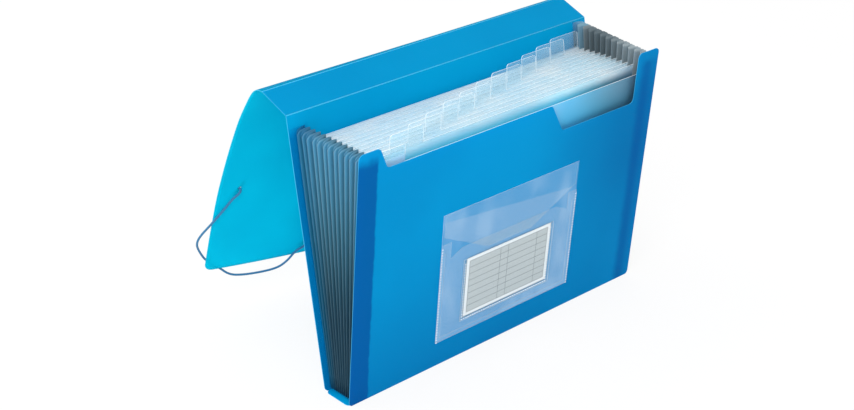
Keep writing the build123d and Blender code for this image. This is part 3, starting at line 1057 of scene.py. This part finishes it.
def film_finish(name, tone, body, gloss=0.5, bend_reflection=False):
    """Clear glossy film with a pale tint, a few soft ripples and painted highlights on its cut edges.

    With a bend reflection, the film is clearer above its bend and paler below it, a painted reflection
    where the film bends.
    """
    finish = Finish(name)
    x, _, z = finish.place()
    ripple = finish.noise(26.0, 2.0, finish.stretched((1.0, 1.0, 0.6)))
    edge = finish.edge(sheet_normal(FRONT_LEAN))
    # Painted highlight on the cut edges, with paler ripples
    white = (0.5 * edge + 0.12 * ripple.ramp(0.45, 0.7)).limit()
    colour = finish.blend(white, rgba(tone), rgba(FILM_PALE_AND_HIGHLIGHT))
    # Painted reflection: paler below the tuck flap's bend
    if bend_reflection:
        bend = BEND_HEIGHT - BEND_FALL * (x - POCKET_LEFT)
        body = body * (1.0 - 0.8 * (z - bend).ramp(-1 * MM, 1 * MM))
    film = finish.surface(colour, 0.14 + 0.08 * ripple, finish.bump(ripple, 0.12, 2 * MM), gloss)
    glass = finish.clear((0.99, 1.0, 1.0, 1.0))
    return finish.done(finish.mixed((1.0 - body) * (1.0 - 0.3 * edge), film, glass))


def grained_finish(name, scale, first, second, roughness):
    """Plain surface with a fine grain between two tones."""
    finish = Finish(name)
    grain = finish.noise(scale)
    colour = finish.blend(grain.ramp(0.3, 0.7), rgba(first), rgba(second))
    return finish.done(finish.surface(colour, roughness + 0.1 * grain))


def repeat_tree(name, shape, settings=None):
    """Geometry nodes that set copies of a small shape at even steps along a line."""
    tree = bpy.data.node_groups.new(name, "GeometryNodeTree")
    maker = NodeMaker(tree)
    kinds = {"Count": "Int", "Turn": "Float", "Material": "Material"}
    kinds |= {label: "Vector" for label in ("Start", "Step", "Size")}
    for label, kind in kinds.items():
        tree.interface.new_socket(label, in_out="INPUT", socket_type="NodeSocket" + kind)
    tree.interface.new_socket("Geometry", in_out="OUTPUT", socket_type="NodeSocketGeometry")
    given = {label: maker.node("NodeGroupInput", output=label) for label in kinds}
    places = {"Count": given["Count"], "Start Location": given["Start"], "Offset": given["Step"]}
    line = maker.node("GeometryNodeMeshLine", inputs=places)
    turn = maker.node("ShaderNodeCombineXYZ", inputs={"X": given["Turn"]})
    form = maker.node(shape, inputs=settings)
    copies = {"Points": line, "Instance": form, "Rotation": turn, "Scale": given["Size"]}
    copied = maker.node("GeometryNodeInstanceOnPoints", inputs=copies)
    real = maker.node("GeometryNodeRealizeInstances", inputs={"Geometry": copied})
    paint = {"Geometry": real, "Material": given["Material"]}
    painted = maker.node("GeometryNodeSetMaterial", inputs=paint)
    maker.node("NodeGroupOutput", inputs={"Geometry": painted})
    return tree


def repeated(name, tree, runs, material):
    """One plain mesh of all the runs that a repeat tree makes."""
    names = {item.name: item.identifier for item in tree.interface.items_tree if item.in_out == "INPUT"}
    made = []
    for count, start, step, size in runs:
        piece = new_piece(name, [], [], material)
        modifier = piece.modifiers.new("Repeat", "NODES")
        modifier.node_group = tree
        values = {
            "Count": count,
            "Start": tuple(start),
            "Step": tuple(step),
            "Size": tuple(size),
            "Turn": pi / 2 - FRONT_LEAN,
            "Material": material,
        }
        for label, value in values.items():
            modifier[names[label]] = value
        piece.update_tag()
        bpy.context.view_layer.update()
        made.append(settle(piece))
    whole = made[0]
    with bpy.context.temp_override(active_object=whole, selected_editable_objects=made):
        bpy.ops.object.join()
    whole.name = name
    dress(whole, material)
    return whole


def weld_runs(sizes):
    """Runs of weld dots: up the pocket's sides, and along the foot and sides of the card's sleeve."""
    pitch = sizes.weld_pitch
    stretch = 1.7
    height = 0.06 * MM
    dot = (stretch * sizes.weld_dot, sizes.weld_dot, height)
    up = sheet_direction(FRONT_LEAN) * pitch
    inset = 0.4 * MM
    tall = int((POCKET_EAR - POCKET_FOOT - inset) / pitch)
    runs = []
    for x in (POCKET_LEFT + inset, POCKET_LEFT + POCKET_WIDTH - inset):
        runs.append((tall, front_point(x, POCKET_FOOT + inset, POCKET_FACE), up, dot))
    rim = 2 * MM
    wide = int(CARD_WIDTH / pitch) + 1
    rise = int(CARD_HEIGHT / pitch)
    left = POCKET_CENTRE - CARD_WIDTH / 2 - rim
    foot = CARD_FOOT - rim
    runs.append((wide + 1, front_point(left, foot, SLEEVE_FACE), Vector((pitch, 0, 0)), dot))
    for x in (left, left + wide * pitch):
        runs.append((rise, front_point(x, foot + pitch, SLEEVE_FACE), up, dot))
    return runs


def pressed_seams(colours):
    """Flat strips inside the seams along the pocket's sides and foot, where its films are pressed."""
    tone = tuple(0.93 * low + 0.07 * high for low, high in zip(colours.pocket_back, colours.pocket))
    material = film_finish("pressed_seam", tone, 1.0, 0.1)
    inset = 0.15 * MM
    thick = 0.04 * MM
    wide = SEAM - 2 * inset
    tall = POCKET_TOP - POCKET_FOOT - SEAM - inset
    up = sheet_direction(FRONT_LEAN)
    foot = front_point(POCKET_CENTRE, POCKET_FOOT + SEAM / 2, SEAM_LEVEL)
    runs = [(1, foot, up, (POCKET_WIDTH - 2 * inset, wide, thick))]
    for _, side in SIDES:
        x = POCKET_CENTRE + side * (POCKET_WIDTH - SEAM) / 2
        middle = front_point(x, POCKET_FOOT + SEAM + tall / 2, SEAM_LEVEL)
        runs.append((1, middle, up, (wide, tall, thick)))
    return repeated("pocket_seams", repeat_tree("pressed_run", "GeometryNodeMeshCube"), runs, material)


class FOLDER_OT_pocket(bpy.types.Operator):
    """Finishes the films of the label pocket and welds their seams"""

    bl_idname = "folder.pocket"
    bl_label = "Label pocket"

    def execute(self, context):
        colours = context.scene.folder_colours
        # Each film's node, tone, share that isn't clear, gloss, and whether it has a painted reflection
        # below its bend
        films = (
            ("pocket_back_sheet", colours.pocket_back, 1.0, 0.1, False),
            ("pocket_tuck_flap", colours.pocket, 0.075, 0.5, True),
            ("pocket_front_sheet", colours.pocket, 0.07, 0.5, False),
            ("card_sleeve", colours.pocket, 0.03, 0.5, False),
        )
        for node, tone, body, gloss, bend_reflection in films:
            dress(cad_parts[node], film_finish(node + "_film", tone, body, gloss, bend_reflection))
        pale = toned(colours.pocket, 0.45, 0.5)
        material = grained_finish("weld_dots", 800.0, pale, FILM_PALE_AND_HIGHLIGHT, 0.3)
        tree = repeat_tree("weld_seam", "GeometryNodeMeshCone", WELD_DOT_FORM)
        welds = repeated("pocket_welds", tree, weld_runs(context.scene.folder_sizes), material)
        seams = pressed_seams(colours)
        for piece in (welds, seams):
            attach(piece, "front")
        return {"FINISHED"}


def card_finish(colours):
    """Card stock: matt paper with a fine fibre."""
    finish = Finish("card_stock")
    fibre = finish.noise(1400.0, 4.0)
    cloud = finish.noise(60.0, 2.0)
    dull = toned(colours.card, 0.92)
    colour = finish.blend(0.6 * fibre + 0.4 * cloud, rgba(colours.card), rgba(dull))
    return finish.done(finish.surface(colour, 0.85 - 0.1 * fibre, finish.bump(fibre, 0.1, 0.2 * MM)))


def ink_finish(name, colour):
    """Printed ink with a fine grain."""
    return grained_finish(name, 1600.0, colour, toned(colour, 1.15), 0.75)


class FOLDER_OT_card(bpy.types.Operator):
    """Prints the index card's field, ruled lines and columns"""

    bl_idname = "folder.card"
    bl_label = "Index card"

    def execute(self, context):
        colours = context.scene.folder_colours
        count = context.scene.folder_sizes.ruled_lines
        dress(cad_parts["index_card"], card_finish(colours))
        border = 3.2 * MM
        line = 0.5 * MM
        field_ink = 0.02 * MM
        line_ink = 0.04 * MM
        columns = (0.0, 0.39, 0.49, 0.86, 1.0)
        width = CARD_WIDTH - 2 * border
        height = CARD_HEIGHT - 2 * border
        left = POCKET_CENTRE - width / 2
        foot = CARD_FOOT + border
        middle = foot + height / 2
        up = sheet_direction(FRONT_LEAN)
        tree = repeat_tree("printed_run", "GeometryNodeMeshCube")
        runs = [(1, front_point(POCKET_CENTRE, middle, CARD_FACE), up, (width, height, field_ink))]
        field = repeated("card_field", tree, runs, ink_finish("card_field_ink", colours.print_grey))
        start = front_point(POCKET_CENTRE, foot, CARD_FACE)
        runs = [(count, start, up * (height / (count - 1)), (width + line, line, line_ink))]
        for share in columns:
            centre = front_point(left + share * width, middle, CARD_FACE)
            runs.append((1, centre, up, (line, height, line_ink)))
        lines = repeated("card_lines", tree, runs, ink_finish("card_line_ink", colours.ink))
        for piece in (field, lines):
            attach(piece, "card")
        return {"FINISHED"}


def seen_directly(maker):
    """1 for rays from the camera, a reflection or a clear film, and 0 for those that only give light."""
    direct = maker.node("ShaderNodeLightPath", output="Is Camera Ray")
    for ray in ("Is Glossy Ray", "Is Transmission Ray"):
        direct = direct + maker.node("ShaderNodeLightPath", output=ray)
    return direct.limit()


def floor_finish():
    """Pale floor that is near white to the eye and keeps a soft shadow."""
    finish = Finish("pale_floor")
    tone = finish.noise(3.0, 2.0)
    colour = finish.blend(tone, rgba((0.88, 0.88, 0.88)), rgba((0.9, 0.9, 0.9)))
    ground = finish.surface(colour, 0.9, specular=0.1)
    white = finish.node("ShaderNodeEmission", inputs={"Color": rgba((1.0, 1.0, 1.0)), "Strength": 1.0})
    return finish.done(finish.mixed(0.85 * seen_directly(finish), ground, white))


def set_world(scene):
    """White to the eye, and an even studio light on the object."""
    world = bpy.data.worlds.new("studio_light")
    world.use_nodes = True
    scene.world = world
    sky = NodeMaker(world.node_tree)
    white = rgba((1.0, 1.0, 1.0))
    light = sky.node("ShaderNodeBackground", inputs={"Color": white, "Strength": 0.92})
    view = sky.node("ShaderNodeBackground", inputs={"Color": white, "Strength": 1.0})
    sky.node("ShaderNodeOutputWorld", inputs={"Surface": sky.mixed(seen_directly(sky), light, view)})


def add_lamp(name, place, target, size, power):
    lamp = bpy.data.lights.new(name, "AREA")
    lamp.size = size
    lamp.energy = power
    light = bpy.data.objects.new(name, lamp)
    bpy.context.scene.collection.objects.link(light)
    light.location = place
    light.rotation_euler = (Vector(target) - Vector(place)).to_track_quat("-Z", "Y").to_euler()


def add_camera(scene):
    camera = bpy.data.cameras.new("photo_camera")
    camera.sensor_fit = "HORIZONTAL"
    camera.sensor_width = SENSOR_WIDTH
    camera.lens = SENSOR_WIDTH * FOCAL_LENGTH_PX / PHOTO_WIDTH_PX
    camera.clip_start = 0.01
    eye = bpy.data.objects.new("photo_camera", camera)
    scene.collection.objects.link(eye)
    level = cos(CAMERA_RISE)
    back = Vector((sin(CAMERA_TURN) * level, -cos(CAMERA_TURN) * level, sin(CAMERA_RISE)))
    right = Vector((cos(CAMERA_TURN), sin(CAMERA_TURN), 0))
    facing = Matrix((right, back.cross(right), back)).transposed()
    turned = facing @ Matrix.Rotation(CAMERA_ROLL, 3, "Z")
    eye.matrix_world = Matrix.LocRotScale(CAMERA_PLACE, turned, None)
    scene.camera = eye


class FOLDER_OT_stage(bpy.types.Operator):
    """Sets the floor, the lights, the background and the camera"""

    bl_idname = "folder.stage"
    bl_label = "Stage and camera"

    def execute(self, context):
        scene = context.scene
        scene.view_settings.view_transform = "Standard"
        reach = 6.0
        corners = [(-reach, -reach, 0), (reach, -reach, 0), (reach, reach, 0), (-reach, reach, 0)]
        floor = new_piece("studio_floor", corners, [(0, 1, 2, 3)], floor_finish(), smooth=False)
        set_world(scene)
        for lamp in LAMPS:
            add_lamp(*lamp)
        add_camera(scene)
        return {"FINISHED"}


class FOLDER_PT_panel(bpy.types.Panel):
    """Lists the folder's operators"""

    bl_idname = "FOLDER_PT_panel"
    bl_label = "Accordion file folder"
    bl_space_type = "VIEW_3D"
    bl_region_type = "UI"
    bl_category = "Folder"

    def draw(self, context):
        for operator in OPERATORS:
            self.layout.operator(operator.bl_idname)
        for group in (context.scene.folder_sizes, context.scene.folder_colours):
            box = self.layout.box()
            for name in group.__annotations__:
                box.prop(group, name)


OPERATORS = (
    FOLDER_OT_covers,
    FOLDER_OT_flap,
    FOLDER_OT_elastics,
    FOLDER_OT_gussets,
    FOLDER_OT_dividers,
    FOLDER_OT_pocket,
    FOLDER_OT_card,
    FOLDER_OT_stage,
)
CLASSES = (FolderSizes, FolderColours, *OPERATORS, FOLDER_PT_panel)


def register():
    for item in CLASSES:
        bpy.utils.register_class(item)
    bpy.types.Scene.folder_sizes = PointerProperty(type=FolderSizes)
    bpy.types.Scene.folder_colours = PointerProperty(type=FolderColours)


def unregister():
    del bpy.types.Scene.folder_colours
    del bpy.types.Scene.folder_sizes
    for item in reversed(CLASSES):
        bpy.utils.unregister_class(item)


def main():
    register()
    bpy.ops.folder.covers()
    bpy.ops.folder.flap()
    bpy.ops.folder.elastics()
    bpy.ops.folder.gussets()
    bpy.ops.folder.dividers()
    bpy.ops.folder.pocket()
    bpy.ops.folder.card()
    bpy.ops.folder.stage()


if __name__ == "__main__":
    main()
